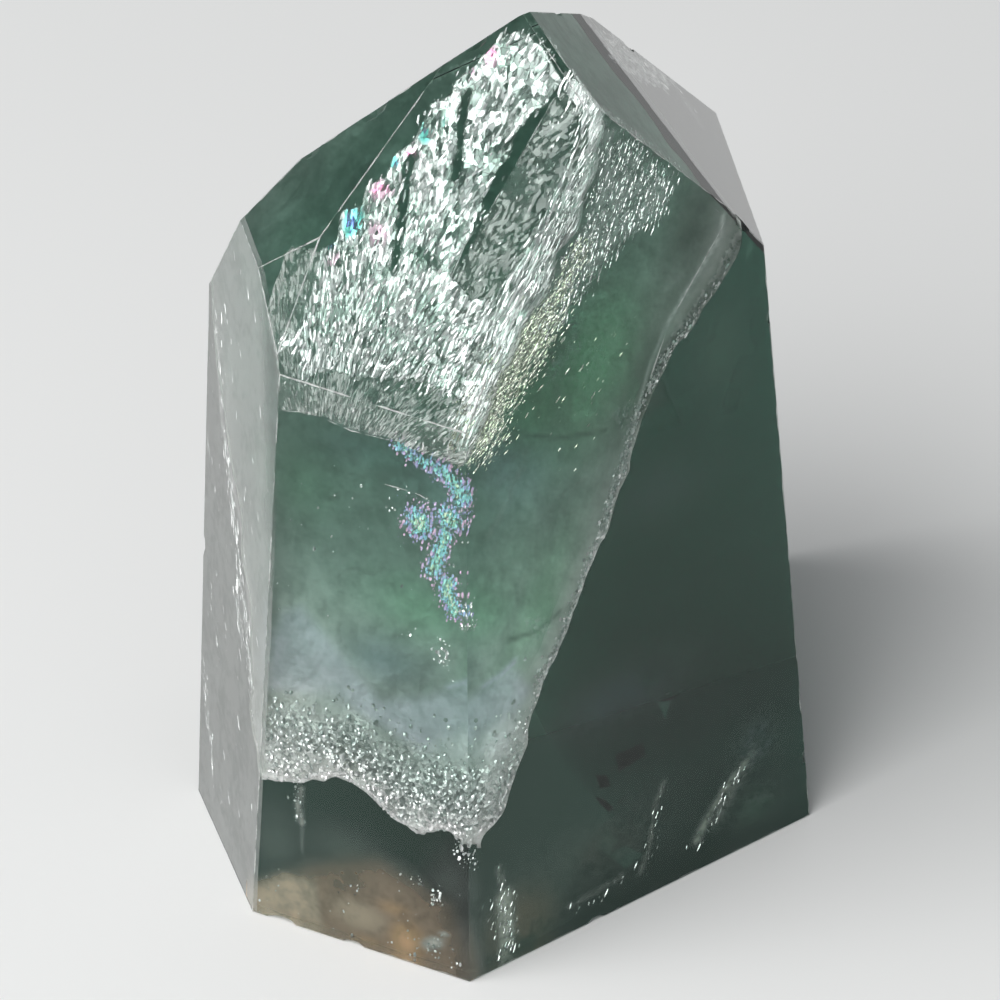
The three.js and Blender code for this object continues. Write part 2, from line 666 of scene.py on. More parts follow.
def area(outline, soft, strength=1.0):
    """A filled outline whose edge fades over soft millimetres."""

    def brush(plane, u, v):
        nearest, inside = line_distance(u, v, [plane.at(*p) for p in outline], True)
        return strength * smooth(np.where(inside, nearest, -nearest), -soft, soft)

    return brush


def stroke(line, wide, strength=1.0):
    """A soft line, wide millimetres to each side."""

    def brush(plane, u, v):
        nearest, _ = line_distance(u, v, [plane.at(*p) for p in line])
        return strength * np.exp(-((nearest / wide) ** 2))

    return brush


def paint(brushes, plane, u, v):
    value = np.zeros(u.shape)
    for brush in brushes:
        value = np.maximum(value, brush(plane, u, v))
    return np.clip(value, 0, 1)


def faint(brushes, share):
    """The same brushes, each at a share of its strength."""
    return [lambda plane, u, v, one=brush: one(plane, u, v) * share for brush in brushes]


def minus(brushes, holes):
    """One brush: the first set where the second doesn't reach."""

    def brush(plane, u, v):
        return np.clip(paint(brushes, plane, u, v) - paint(holes, plane, u, v), 0, 1)

    return brush


print("brushes ready")

# %% [markdown]
# ## Sheets that follow a broken plane
#
# A crack is nearly flat, so its sheet is a fine grid over a plane. Each grid point is
# lifted by the rim points near it, plus a little slow waviness, and the grid is then
# clipped to the stone facet by facet. A boolean could cut it too, but a sheet is no
# closed body, and one cut per facet is exact. The paints stay on the sheet as
# attributes, and its finish reads them by name.


# %% Lifts and waves
HOLD = 0.25  # how strongly the bare plane holds a place where no rim point is near


def rim_lifts(plane, points):
    """How far rim points on the skin stand off the plane, with their places over it."""
    lifts = []
    for across, down in points:
        spot, _ = on_surface(across, down)
        if spot is not None:
            lift = (spot.dot(plane.normal) - plane.reach) / MM
            lifts.append((*plane.under(spot), lift))
    return lifts


def lift_field(u, v, lifts):
    total = np.full(u.shape, HOLD)
    value = np.zeros(u.shape)
    for at_u, at_v, lift in lifts:
        weight = np.exp(-((u - at_u) ** 2 + (v - at_v) ** 2) / 2)
        total += weight
        value += weight * lift
    return value / total


def wave_field(u, v, waves):
    """Slow waviness: each wave is (height, length across, length along, seed), in mm."""
    value = np.zeros(u.size)
    for height, across, along, seed in waves:
        places = zip(u.ravel(), v.ravel())
        value += height * np.array(
            [noise.noise(Vector((a / across, b / along, seed))) for a, b in places]
        )
    return value.reshape(u.shape)


print("lifts ready")


# %% Crack sheets
CUT_AWAY = 0.5  # a hole's brush above this cuts the sheet away
BARE = 0.01  # paint below this counts as none


def make_sheet(name, plane, cell, paints, lifts=(), waves=(), inset=0.1, box=None, holes=(),
               bare=False):
    """A grid over the plane, painted and clipped. Box limits it to (u0, v0, u1, v1).

    Holes are brushes that cut it away, and with bare set it is kept only where painted."""
    corners = [plane.under(v.co) for v in packed.data.vertices]
    low = np.min(corners, 0) - cell
    high = np.max(corners, 0) + cell
    if box:
        low = np.maximum(low, box[:2])
        high = np.minimum(high, box[2:])
    us = np.arange(low[0], high[0], cell)
    vs = np.arange(low[1], high[1], cell)
    u, v = np.meshgrid(us, vs)
    lift = lift_field(u, v, lifts) + wave_field(u, v, waves)
    spots = [plane.spot(*p) for p in zip(u.ravel(), v.ravel(), lift.ravel())]
    wide = len(us)
    faces = [
        (k, k + 1, k + 1 + wide, k + wide)
        for j in range(len(vs) - 1)
        for k in range(j * wide, j * wide + wide - 1)
    ]
    mesh = bpy.data.meshes.new(name)
    mesh.from_pydata(spots, [], faces)
    for key, brushes in paints.items():
        values = paint(brushes, plane, u, v).ravel().astype(np.float32)
        mesh.attributes.new(key, "FLOAT", "POINT").data.foreach_set("value", values)
    bm = bmesh.new()
    bm.from_mesh(mesh)
    gone = paint(holes, plane, u, v).ravel() > CUT_AWAY
    if bare:
        gone |= paint(sum(paints.values(), []), plane, u, v).ravel() < BARE
    bm.verts.ensure_lookup_table()
    lost = [bm.verts[k] for k in np.flatnonzero(gone)]
    bmesh.ops.delete(bm, geom=lost, context="VERTS")
    clip_to_stone(bm, inset * MM)
    bm.to_mesh(mesh)
    bm.free()
    mesh.shade_smooth()
    return add_object(name, mesh)


def add_flat_map(sheet, plane, name, flatten):
    """A UV map in mm: flatten turns a place over the plane into its two numbers."""
    layer = sheet.data.uv_layers.new(name=name)
    places = [flatten(*plane.under(v.co)) for v in sheet.data.vertices]
    for loop in sheet.data.loops:
        layer.data[loop.index].uv = places[loop.vertex_index]


def turned_by(angle):
    """Flatten with V along a band that is turned by that angle from the slope."""
    c, s = math.cos(angle), math.sin(angle)
    return lambda u, v: (u * c - v * s, u * s + v * c)


print("sheets ready")

# %% [markdown]
# ## The great crack
#
# Fluorite splits along flat cleavage planes. One such split crosses the whole stone and
# leans back as it rises. Its broken rim shows on the facets as a ragged bright line.
# The sheet is a grid over that plane, lifted so that it passes through the rim's points
# on the skin, and Solidify makes it a thin closed body. Its grain is small leaning
# scales in the finish, because thousands of real ones would weigh more than they show.

# %% The rim of the great crack, by points of the view
CRACK = Plane(direction(250.0, 25.8), 25.6 * MM)
RIM_FRONT_LEFT = [
    (260, 776), (278, 781), (296, 782), (308, 779), (317, 774), (329, 773), (346, 774), (356, 783),
    (367, 788), (381, 805), (400, 821), (417, 832), (424, 832), (431, 826), (444, 826), (454, 834),
    (466, 840),
]
RIM_RIGHT = [
    (482, 858), (490, 855), (498, 838), (508, 820), (514, 797), (520, 774), (533, 746), (530, 720),
    (545, 690), (540, 681), (564, 636), (592, 564), (617, 493), (633, 444), (640, 423), (649, 400),
    (658, 385), (671, 357), (701, 314), (721, 280), (739, 255),
]
RIM_LEFT = [(214, 330), (217, 364), (240, 510), (250, 606), (250, 718)]
crack_lifts = rim_lifts(CRACK, RIM_FRONT_LEFT + RIM_RIGHT + RIM_LEFT)
print("rim stands off the plane by up to", round(max(abs(l[2]) for l in crack_lifts), 2), "mm")


# %% Finish of the great crack
GRAIN_SIZE = 0.26  # mm
CRACK_TINTS = {  # what each paint does to the colour, in this order
    "green": (0.60, 0.98, 0.68, 1),
    "dark": (0.05, 0.12, 0.08, 1),
    "slate": (0.46, 0.54, 0.62, 1),
    "cloud": (0.93, 0.88, 1.0, 1),
    "tan": (0.86, 0.76, 0.62, 1),
    "light": (0.97, 0.97, 0.95, 1),
}


def crack_material():
    material, make = new_material("crack_silver")
    place = make.place(MM)
    mottle = make.noise(place, 0.45, 3.0, 0.62)
    fine = make.noise(place, 1.3, 1.0, 0.65)
    grain = make.between(make.attribute("grain") + (mottle - 0.5) * 1.1, 0.25, 0.7)
    shiny = 1 - make.attribute("dark")
    band = make.flat_map("band")
    height, chance, seam = scales(make, band, GRAIN_SIZE, (0, 0, 0), (0.9, 0.9, 0))
    slow = make.between(make.noise(place, 0.14, 1.0, 0.55), 0.35, 0.7)
    colour = make.mix(slow, (0.56, 0.59, 0.56, 1), (0.76, 0.78, 0.74, 1))
    for key, tint in CRACK_TINTS.items():
        colour = make.mix(make.attribute(key), colour, tint)
    shaded = make.mix(make.between(mottle, 0.32, 0.66), (0.74, 0.78, 0.76, 1), (1, 1, 1, 1))
    colour = make.mix(1.0, colour, shaded, "MULTIPLY")
    bright_grain = grain * shiny * make.between(chance, 0.45, 0.6)
    colour = make.mix(bright_grain, colour, (1.0, 1.0, 0.98, 1))
    dark_grain = make.larger(make.between(chance, 0.22, 0.16), make.between(seam, 0.09, 0.03))
    colour = make.mix(grain * dark_grain * 0.6, colour, (0.38, 0.43, 0.41, 1))
    sockets = {
        "Base Color": colour,
        "Roughness": 0.5 - grain * 0.12 + make.attribute("dark") * 0.3,
        "Metallic": (0.3 + grain * 0.4) * shiny,
        "Specular IOR Level": 0.25,
        "Normal": make.bump(height * grain + fine * 0.10),
    }
    make.surface(sockets)
    return material


print("crack paints:", ", ".join(CRACK_TINTS))


# %% The great crack
CRACK_INNER = [(724, 214), (717, 237), (689, 287), (669, 323), (651, 376), (640, 424)]
SUGAR = [
    blob(290, 740, 3, 2.8),
    blob(350, 750, 3, 2.6),
    blob(400, 785, 3, 3.2),
    blob(450, 800, 3.4, 3.4),
    blob(505, 800, 2, 5),
]
CRACK_PAINTS = {
    "cloud": [
        area([(268, 690), (270, 640), (284, 612), (302, 607), (330, 640), (355, 672), (380, 700),
            (430, 696), (485, 686), (512, 665), (530, 690), (505, 755), (426, 757), (390, 730),
            (330, 700)], 0.7, 0.75),
        blob(515, 480, 3, 2.6, 0.6),
        stroke([(483, 687), (500, 676), (514, 662)], 0.3),
    ],
    "green": [
        blob(590, 370, 4, 5.5, turn=-20),
        blob(540, 400, 4, 4, 0.8),
        blob(540, 600, 2, 6, 0.5, turn=-15),
        blob(425, 610, 4, 2.4, 0.5),
        blob(300, 480, 2.5, 3.5, 0.3),
    ],
    "dark": [
        blob(690, 235, 2, 3, 0.7, turn=-20),
        blob(400, 750, 1.6, 1.4, 0.4),
        stroke([(512, 432), (552, 439), (604, 431)], 0.16, 0.45),
        stroke([(508, 640), (535, 632), (560, 612)], 0.2, 0.5),
        stroke([(734, 240), (712, 285), (682, 335), (662, 375), (645, 415)], 0.85, 0.9),
        stroke([(706, 245), (680, 290), (655, 345), (640, 395)], 1, 0.35),
    ],
    "slate": [
        blob(380, 660, 3, 1.8, 0.6),
        blob(380, 450, 6, 2, 0.4),
    ],
    "light": [
        area([(262, 700), (330, 690), (400, 760), (470, 740), (530, 700), (500, 850), (440, 840),
            (400, 815), (350, 770), (262, 775)], 0.9, 0.7),
        stroke(RIM_FRONT_LEFT, 0.4),
        stroke(CRACK_INNER, 0.14),
        stroke([(640, 424), (592, 564), (548, 680)], 0.2, 0.8),
    ],
    "tan": [
        blob(300, 730, 3.2, 3, 0.45),
        blob(345, 757, 1.8, 1.4, 0.8),
    ],
    "grain": SUGAR + [
        stroke([(528, 745), (540, 690), (592, 564), (640, 423)], 0.5, 0.7),
        stroke([(734, 240), (712, 285), (682, 335), (662, 375)], 0.7, 0.9),
        blob(620, 420, 1.5, 3, 0.5, turn=-20),
        blob(560, 350, 3, 4, 0.42, turn=-20),
        blob(540, 625, 1.5, 1.2, 0.5, turn=-20),
    ],
}
CRACK_WAVES = [(0.55, 9.0, 9.0, 1.7), (0.14, 2.2, 2.2, 5.1), (0.09, 0.8, 0.8, 7.7)]
# Where the crack meets the front arris its tip has broken away.
CRACK_TIP = [(446, 838), (456, 841), (467, 846), (484, 862), (496, 868), (490, 895), (450, 895)]
CRACK_THICKNESS = 0.06 * MM


def make_crack():
    crack = make_sheet(
        "great_crack", CRACK, 0.30, CRACK_PAINTS, crack_lifts, CRACK_WAVES, 0.04,
        holes=[area(CRACK_TIP, 0.1)],
    )
    crack.data.materials.append(crack_material())
    add_flat_map(crack, CRACK, "band", turned_by(0))
    shell = crack.modifiers.new("shell", "SOLIDIFY")
    shell.thickness = CRACK_THICKNESS
    shell.offset = -1
    bake_modifiers(crack)
    finish_piece(crack)


make_crack()

# %% [markdown]
# ## The feathery crack under the crown facet
#
# A second crack lies a millimetre under the large front crown facet. It is thin air
# between two stepped faces, so it shines like crumpled foil, with gaps where the crack
# has closed again. Its wrinkles fan out upwards from below. The foil is one painted
# sheet whose alpha leaves the gaps clear, and its small scales are a Voronoi pattern
# laid on two flat maps: one runs round the fan, the other along the bright band.

# %% Where the feathers lie
FEATHER = Plane(direction(244.1, 25.6), 38.14 * MM)
FEATHER_RIM = [
    (277, 411), (307, 412), (327, 420), (351, 431), (389, 440), (487, 420), (520, 345), (556, 285),
    (585, 225), (601, 175), (603, 135),
]
feather_lifts = rim_lifts(FEATHER, FEATHER_RIM)
SCALES_OUTLINE = [
    (302, 345), (304, 316), (317, 275), (321, 250), (338, 240), (343, 212), (362, 206), (368, 186),
    (386, 180), (394, 156), (414, 142), (424, 120), (430, 104), (453, 95), (457, 81), (472, 69),
    (486, 55), (504, 36), (522, 30), (541, 47), (562, 82), (555, 91), (535, 118), (504, 183),
    (484, 208), (464, 244), (449, 275), (470, 300), (492, 300), (478, 335), (452, 372), (420, 378),
    (360, 376), (325, 368), (300, 385),
]
HAZE_OUTLINE = [
    (277, 352), (300, 335), (320, 362), (430, 366), (446, 291), (494, 203), (526, 147), (562, 88),
    (598, 108), (606, 160), (590, 225), (560, 285), (522, 350), (490, 425), (462, 466), (421, 462),
    (389, 440), (327, 420), (277, 411),
]
FEATHER_PAINTS = {
    "scales": [area(SCALES_OUTLINE, 0.45)],
    "haze": [
        area(HAZE_OUTLINE, 0.5),
        area([(250, 255), (300, 248), (324, 254), (308, 335), (278, 356), (262, 310)], 0.9),
    ],
    "pink": [
        blob(381, 190, 0.85, 0.7, turn=20),
        blob(412, 154, 0.55, 0.5),
        blob(491, 56, 0.55, 0.8),
        blob(379, 232, 0.9, 1.2, 0.55),
        blob(470, 72, 0.5, 0.4, 0.8),
        blob(335, 258, 0.8, 0.8, 0.5),
    ],
    "blue": [
        blob(352, 221, 0.75, 1.1),
        blob(394, 162, 0.45, 0.5, 0.9),
        blob(330, 246, 0.5, 0.4, 0.8),
        blob(425, 133, 0.5, 0.7, 0.7),
        blob(548, 318, 0.6, 0.4, 0.7),
        blob(448, 120, 0.6, 1.2, 0.35),
    ],
    "gap": [
        stroke([(536, 114), (516, 140), (513, 155), (494, 183), (486, 203)], 0.45, 0.8),
        stroke([(468, 92), (461, 120), (460, 150), (455, 178)], 0.5, 0.82),
        stroke([(410, 160), (403, 200), (400, 235), (394, 272)], 0.5, 0.85),
        blob(435, 262, 0.8, 1.2, 0.8, turn=20),
        stroke([(426, 150), (434, 185), (430, 205)], 0.4, 0.5),
    ],
    "streak": [
        stroke([(462, 440), (474, 395), (500, 345), (532, 285), (556, 236)], 1, 0.7),
        stroke([(556, 236), (572, 205), (588, 165)], 0.9, 0.8),
        stroke([(588, 165), (594, 135), (588, 112), (570, 88)], 0.5),
        stroke([(589, 122), (587, 145), (570, 178), (552, 220), (530, 255)], 0.28),
        stroke([(530, 255), (506, 287), (487, 320), (466, 353), (447, 380)], 0.28),
        stroke([(430, 380), (452, 386), (468, 402), (462, 440)], 0.3, 0.9),
        blob(622, 190, 2.2, 4, 0.45, turn=-25),
        stroke([(510, 306), (530, 272), (548, 236)], 0.3, 0.9),
        stroke([(446, 350), (480, 325), (518, 300)], 0.45, 0.8),
        stroke([(430, 372), (458, 378), (476, 385)], 0.35, 0.9),
        stroke([(282, 345), (300, 340), (306, 372)], 0.3, 0.7),
    ],
}
print("feather paints:", ", ".join(FEATHER_PAINTS))


# %% Which way the feathers run
FAN_POINT = (310, 520)
FAN_WIDTH = 18.0  # mm on the map for one radian round the fan
BAND_START, BAND_END = (470, 410), (566, 205)
BAND_SLOPE = 0.23
BAND_STRETCH = 0.09
FAN_STRETCH = 0.34
fan_centre = FEATHER.at(*FAN_POINT, bent=False)
BAND_TURN = math.atan2(*FEATHER.way(BAND_START, BAND_END))
BAND_LEAN = (
    BAND_SLOPE * math.sin(BAND_TURN), -BAND_SLOPE * math.cos(BAND_TURN) / BAND_STRETCH, 0
)


def along_fan(spot):
    """The direction in which the feathers run at a spot."""
    u, v = FEATHER.under(spot)
    out = FEATHER.level * (u - fan_centre[0]) + FEATHER.slope * (v - fan_centre[1])
    return out.normalized()


def round_fan(u, v):
    """Flatten with U round the fan and V out along it."""
    across, up = u - fan_centre[0], v - fan_centre[1]
    return math.atan2(across, up) * FAN_WIDTH, math.hypot(across, up)


print("band is turned by", round(math.degrees(BAND_TURN), 1), "degrees")


# %% Feather foil
WIDE_SCALE, LONG_SCALE, SMALL_SCALE = 0.20, 0.14, 0.13  # mm
FEATHER_WAVES = [(0.10, 1.6, 3.0, 9.3), (0.05, 0.6, 1.4, 4.3)]


def feather_material():
    material, make = new_material("feather_foil")
    place = make.place(MM)
    along = wavy(make, make.stretch(make.flat_map("fan"), (1.0, FAN_STRETCH, 1.0)), 0.9, 0.5)
    combed = make.stretch(make.flat_map("band"), (1.0, BAND_STRETCH, 1.0))
    combed = wavy(make, combed, 0.5, 0.5)
    broad = make.noise(along, 0.8, 3.0, 0.65)
    blotch = make.noise(place, 0.42, 3.0, 0.65)
    lean = (-0.05, -0.62, 0)
    wide, wide_chance, wide_seam = scales(make, along, WIDE_SCALE, lean, (0.5, 1.4, 0))
    long, long_chance, long_seam = scales(make, combed, LONG_SCALE, BAND_LEAN, (0.45, 3.0, 0))
    lean = (-0.05, -0.66, 0)
    small, small_chance, _ = scales(make, along, SMALL_SCALE, lean, (0.8, 2.2, 0))
    # Where it is scaly, streaky or hazy, with the paints' edges broken up by the noise.
    ragged = (broad - 0.5) * 0.9
    streak = make.between(make.attribute("streak") + ragged, 0.25, 0.6)
    scaly = make.attribute("scales") - make.attribute("gap")
    scaly = make.between(scaly + ragged, 0.30, 0.55)
    hazy = make.between(make.attribute("haze") + (blotch - 0.5) * 0.8, 0.3, 0.7)
    silver = make.larger(scaly, streak)
    # How much of it is there: the crack has closed again in the clear places.
    open_scales = make.between(wide_chance * 0.35 + broad, 0.55, 0.66)
    scale_cover = scaly * (open_scales * 0.8 + 0.2)
    haze_grain = make.between(blotch + (small_chance - 0.5) * 0.3, 0.42, 0.62)
    haze_cover = hazy * (0.14 + haze_grain * 0.66)
    streak_cover = streak * make.between(long_chance, 0.1, 0.3)
    cover = make.larger(make.larger(scale_cover, haze_cover), streak_cover)
    # Its colour: mint silver with dark seams, pink and blue at the rim, dull in the haze.
    blue_green = make.between(blotch, 0.4, 0.65)
    mint = make.mix(blue_green, (0.90, 0.93, 0.91, 1), (0.72, 0.92, 0.82, 1))
    seam = make.larger(
        make.between(wide_seam, 0.11, 0.03) * (1 - streak),
        make.between(long_seam, 0.04, 0.0) * streak,
    )
    dark_one = make.between(wide_chance, 0.20, 0.12) * (1 - streak)
    mint = make.mix(make.larger(seam, dark_one) * 0.6, mint, (0.30, 0.38, 0.34, 1))
    dull = make.mix(small_chance, (0.56, 0.63, 0.58, 1), (0.96, 1.0, 0.96, 1))
    rough = small * 0.8 * (1 - scaly) + wide * scaly
    sockets = {
        "Base Color": make.mix(silver, dull, rainbow(make, mint, wide_chance)),
        "Roughness": 0.42 - silver * 0.08,
        "Metallic": 0.35 + silver * 0.40,
        "Normal": make.bump(rough * (1 - streak) + long * streak),
        "Alpha": cover,
    }
    make.surface(sockets)
    return material


def make_feather():
    foil = make_sheet(
        "feather_foil", FEATHER, 0.25, FEATHER_PAINTS, feather_lifts, FEATHER_WAVES, 0.03
    )
    foil.data.materials.append(feather_material())
    add_flat_map(foil, FEATHER, "fan", round_fan)
    add_flat_map(foil, FEATHER, "band", turned_by(BAND_TURN))
    finish_piece(foil)


make_feather()

# %% [markdown]
# ## Scattered flakes
#
# Hundreds of small bright flakes hang on the cracks. Placing them by hand would take days,
# so Geometry Nodes scatter them: points on a painted sheet, with one flat ten-sided flake
# on each. It faces the way in which its crack mirrors the light and lies along the
# wrinkles, then it is tilted a little at random, so that each catches the light its own
# way. Every flake keeps a random `shade` that its finish reads.


# %% A new Geometry Nodes tree
def new_tree(name, ground, inputs, result):
    """An empty tree with its inputs, and a function that hands one of them over."""
    tree = bpy.data.node_groups.new(name, "GeometryNodeTree")
    geometry = "NodeSocketGeometry"
    tree.interface.new_socket(ground, in_out="INPUT", socket_type=geometry)
    for label, kind in inputs.items():
        tree.interface.new_socket(label, in_out="INPUT", socket_type="NodeSocket" + kind)
    tree.interface.new_socket(result, in_out="OUTPUT", socket_type=geometry)
    make = Maker(tree)
    return tree, make, lambda label: make.node("NodeGroupInput", (), label)


def give_inputs(modifier, values):
    """Set a modifier's inputs by the identifiers of their sockets."""
    for item in modifier.node_group.interface.items_tree:
        if item.item_type == "SOCKET" and item.name in values and item.in_out == "INPUT":
            modifier[item.identifier] = values[item.name]


def run_tree(made, tree, values):
    modifier = made.modifiers.new(tree.name, "NODES")
    modifier.node_group = tree
    give_inputs(modifier, values)
    bake_modifiers(made)


print("tree helpers ready")


# %% The scattering tree
FLAKE_INPUTS = {
    "Density": "Float", "Wide": "Float", "Long": "Float", "Thick": "Float", "Tilt": "Float",
    "Spread": "Float", "Seed": "Int", "Facing": "Vector", "Finish": "Material",
}
FLAKE_SIDES = 5


def flake_tree():
    tree, make, given = new_tree("scatter_flakes", "Ground", FLAKE_INPUTS, "Flakes")

    def chance(low, high, seed):
        sockets = {"Min": low, "Max": high, "Seed": seed}
        return make.node("FunctionNodeRandomValue", sockets, data_type="FLOAT")

    def painted(name, kind="FLOAT"):
        return make.node("GeometryNodeInputNamedAttribute", {"Name": name}, data_type=kind)

    sockets = {
        "Mesh": given("Ground"),
        "Density": given("Density") * painted("density"),
        "Seed": given("Seed"),
    }
    points = make.node("GeometryNodeDistributePointsOnFaces", sockets, "Points")
    shift = make.scaled(points.other("Normal"), chance(-0.5, 0.5, 11) * given("Spread"))
    points = make.node("GeometryNodeSetPosition", {"Geometry": points, "Offset": shift})
    align = "FunctionNodeAlignRotationToVector"
    turned = make.node(align, {"Vector": given("Facing")}, axis="Z")
    sockets = {"Rotation": turned, "Vector": painted("flow", "FLOAT_VECTOR")}
    turned = make.node(align, sockets, axis="Y", pivot_axis="Z")
    tip = [given("Tilt") * chance(-1.0, 1.0, seed) for seed in (21, 22, 23)]
    tip = make.node("FunctionNodeEulerToRotation", (make.node("ShaderNodeCombineXYZ", tip),))
    sockets = {"Rotation": turned, "Rotate By": tip}
    turned = make.node("FunctionNodeRotateRotation", sockets, rotation_space="LOCAL")
    grow = chance(0.0, 1.0, 31) ** 2.0 * 1.3 + 0.35
    longer = given("Long") * grow * chance(0.6, 1.4, 32)
    size = make.node("ShaderNodeCombineXYZ", (given("Wide") * grow, longer, given("Thick")))
    sockets = {"Segments": FLAKE_SIDES, "Rings": 2, "Radius": 1.0}
    flake = make.node("GeometryNodeMeshUVSphere", sockets, "Mesh")
    sockets = {"Points": points, "Instance": flake, "Rotation": turned, "Scale": size}
    placed = make.node("GeometryNodeInstanceOnPoints", sockets)
    sockets = {"Geometry": placed, "Name": "shade", "Value": chance(0.0, 1.0, 41)}
    shaded = make.node(
        "GeometryNodeStoreNamedAttribute", sockets, data_type="FLOAT", domain="INSTANCE"
    )
    real = make.node("GeometryNodeRealizeInstances", {"Geometry": shaded})
    sockets = {"Geometry": real, "Material": given("Finish")}
    make.node("NodeGroupOutput", {"Flakes": make.node("GeometryNodeSetMaterial", sockets)})
    return tree


FLAKE_TREE = flake_tree()
print("scattering tree:", len(FLAKE_TREE.nodes), "nodes")


# %% Making flakes
FLAKE_CELL = 0.45  # mm between the grid points of the painted ground


def flow_along(plane, start, end):
    """One direction over the plane, from the place behind one view point to another."""
    u, v = plane.way(start, end)
    way = (plane.level * u + plane.slope * v).normalized()
    return lambda spot: way


def make_flakes(name, plane, brushes, finish, way, lean, seed, density, wide, long, thick,
                tilt, spread, inset=0.12, out=0.0, press=None, paints=None, **ground):
    """Flakes on a painted plane. Density is in flakes per square mm, sizes in mm.

    Way is two view points or a function, and lean is how the flakes face off the plane.
    At the end they move outwards by out and, where press is given, are pressed back
    under the facets again.
    Ground is what else make_sheet takes: lifts, waves and box."""
    paints = {"density": brushes, **(paints or {})}
    made = make_sheet(name, plane, FLAKE_CELL, paints, inset=inset, **ground)
    flow = way if callable(way) else flow_along(plane, *way)
    flows = np.array([flow(v.co) for v in made.data.vertices], np.float32)
    layer = made.data.attributes.new("flow", "FLOAT_VECTOR", "POINT")
    layer.data.foreach_set("vector", flows.ravel())
    values = {
        "Density": density / (MM * MM),
        "Wide": wide * MM / 2,
        "Long": long * MM / 2,
        "Thick": thick * MM / 2,
        "Tilt": math.radians(tilt),
        "Spread": spread * MM,
        "Seed": seed,
        "Facing": plane.leaned(*lean),
        "Finish": finish,
    }
    run_tree(made, FLAKE_TREE, values)
    press_inside(made, 0.06 * MM)
    if out:
        made.data.transform(Matrix.Translation(plane.normal * out * MM))
    if press:
        press_inside(made, press * MM)
    finish_piece(made)


def box_of(plane, outline, margin):
    places = np.array([plane.at(*p) for p in outline])
    return (*(places.min(0) - margin), *(places.max(0) + margin))


print("flake maker ready")

# %% [markdown]
# ## Silver
#
# A flake of air in a crack is a small mirror. Clear glass flakes would need many more
# bounces of light, so the finish is partly metal. Each flake takes its own tone from its
# `shade`: some are dark, most are light. One function makes all the silvers, from nearly
# white to yellow-green.


# %% Silver finishes
def silver_material(name, dark, light, rough, metal, brightest=0.4):
    """Each flake takes its own tone; from the share called brightest upwards all are light."""
    material, make = new_material(name)
    shade = make.attribute("shade")
    fine = make.noise(make.place(), 2400, 2.0)
    tone = make.between(shade + (fine - 0.5) * 0.4, 0.05, brightest)
    colour = rainbow(make, make.mix(tone, dark, light), shade)
    make.surface({"Base Color": colour, "Roughness": rough, "Metallic": metal})
    return material


WHITE = (1.0, 1.0, 0.99, 1)
SCALE_SILVER = silver_material("scale_silver", (0.50, 0.55, 0.53, 1), WHITE, 0.28, 0.75)
FEATHER_SILVER = silver_material(
    "feather_silver", (0.30, 0.37, 0.34, 1), WHITE, 0.34, 0.75, brightest=0.6
)
STEP_SILVER = silver_material(
    "step_silver", (0.62, 0.72, 0.66, 1), (1.0, 1.0, 0.98, 1), 0.14, 0.85
)
PALE_SILVER = silver_material(
    "pale_green_silver", (0.78, 0.90, 0.66, 1), (0.98, 1.0, 0.86, 1), 0.16, 0.8
)
print("four silvers ready")

# %% [markdown]
# ## Flakes on the feather
#
# The foil alone would look printed, because it is one smooth sheet. Real flakes stand on
# it: short scales that follow the fan, long thin streaks that follow the bright band,
# and a few sparkles in the haze. Hardly any stand in the gaps.

# %% Scales, streaks and sparkles of the crown
THICK_SCALES = [
    (304, 345), (318, 295), (352, 262), (404, 292), (440, 300), (486, 340), (446, 384), (330, 366),
]
CROWN = {"lifts": feather_lifts, "lean": (12, 3)}
BAND_WAY = [(490, 370), (566, 200)]
thin_scales = minus(FEATHER_PAINTS["scales"], faint(FEATHER_PAINTS["gap"], 1.15))
make_flakes(
    "feather_scales", FEATHER, faint([thin_scales], 0.54) + [area(THICK_SCALES, 1.2)],
    FEATHER_SILVER, along_fan, seed=4,
    density=18, wide=0.17, long=0.55, thick=0.05, tilt=17, spread=0.4,
    box=box_of(FEATHER, SCALES_OUTLINE, 1.0),
    paints={"pink": FEATHER_PAINTS["pink"], "blue": FEATHER_PAINTS["blue"]}, **CROWN
)
make_flakes(
    "band_streaks", FEATHER, FEATHER_PAINTS["streak"], SCALE_SILVER, BAND_WAY, seed=8,
    density=24, wide=0.11, long=0.8, thick=0.018, tilt=10, spread=0.5, **CROWN
)
make_flakes(
    "crown_sparkles", FEATHER,
    [minus([area(HAZE_OUTLINE, 0.3, 0.7)], FEATHER_PAINTS["scales"])],
    SCALE_SILVER, BAND_WAY, seed=9,
    density=4, wide=0.11, long=0.36, thick=0.03, tilt=22, spread=0.4, **CROWN
)

# %% [markdown]
# ## Grains on the foot of the great crack
#
# Low down the great crack comes close under the front facet. There its broken face looks
# like wet sugar: small bright and dark grains, thickest just above the ragged rim. A
# narrow row of crumbs follows the rim itself. They come from the same scattering tree,
# on ground with the crack's own lifts and waves, so that they sit on its face.

# %% Crack grains and rim crumbs
GRAINS = {"way": [(400, 800), (420, 700)], "lifts": crack_lifts, "waves": CRACK_WAVES}
make_flakes(
    "crack_grains", CRACK, SUGAR, SCALE_SILVER, lean=(5, -2), seed=12,
    density=15, wide=0.24, long=0.32, thick=0.08, tilt=20, spread=0.4, out=0.2, **GRAINS
)
for name, line, wide, lean, seed in (
    ("rim_crumbs_left", RIM_FRONT_LEFT, 0.16, (5, -3), 13),
    ("rim_crumbs_right", RIM_RIGHT, 0.26, (9, 9), 14),
):
    make_flakes(
        name, CRACK, [stroke(line, wide)], SCALE_SILVER, lean=lean, seed=seed,
        density=75, wide=0.17, long=0.26, thick=0.06, tilt=24, spread=0.25,
        inset=0.05, out=0.1, press=0.03, **GRAINS
    )

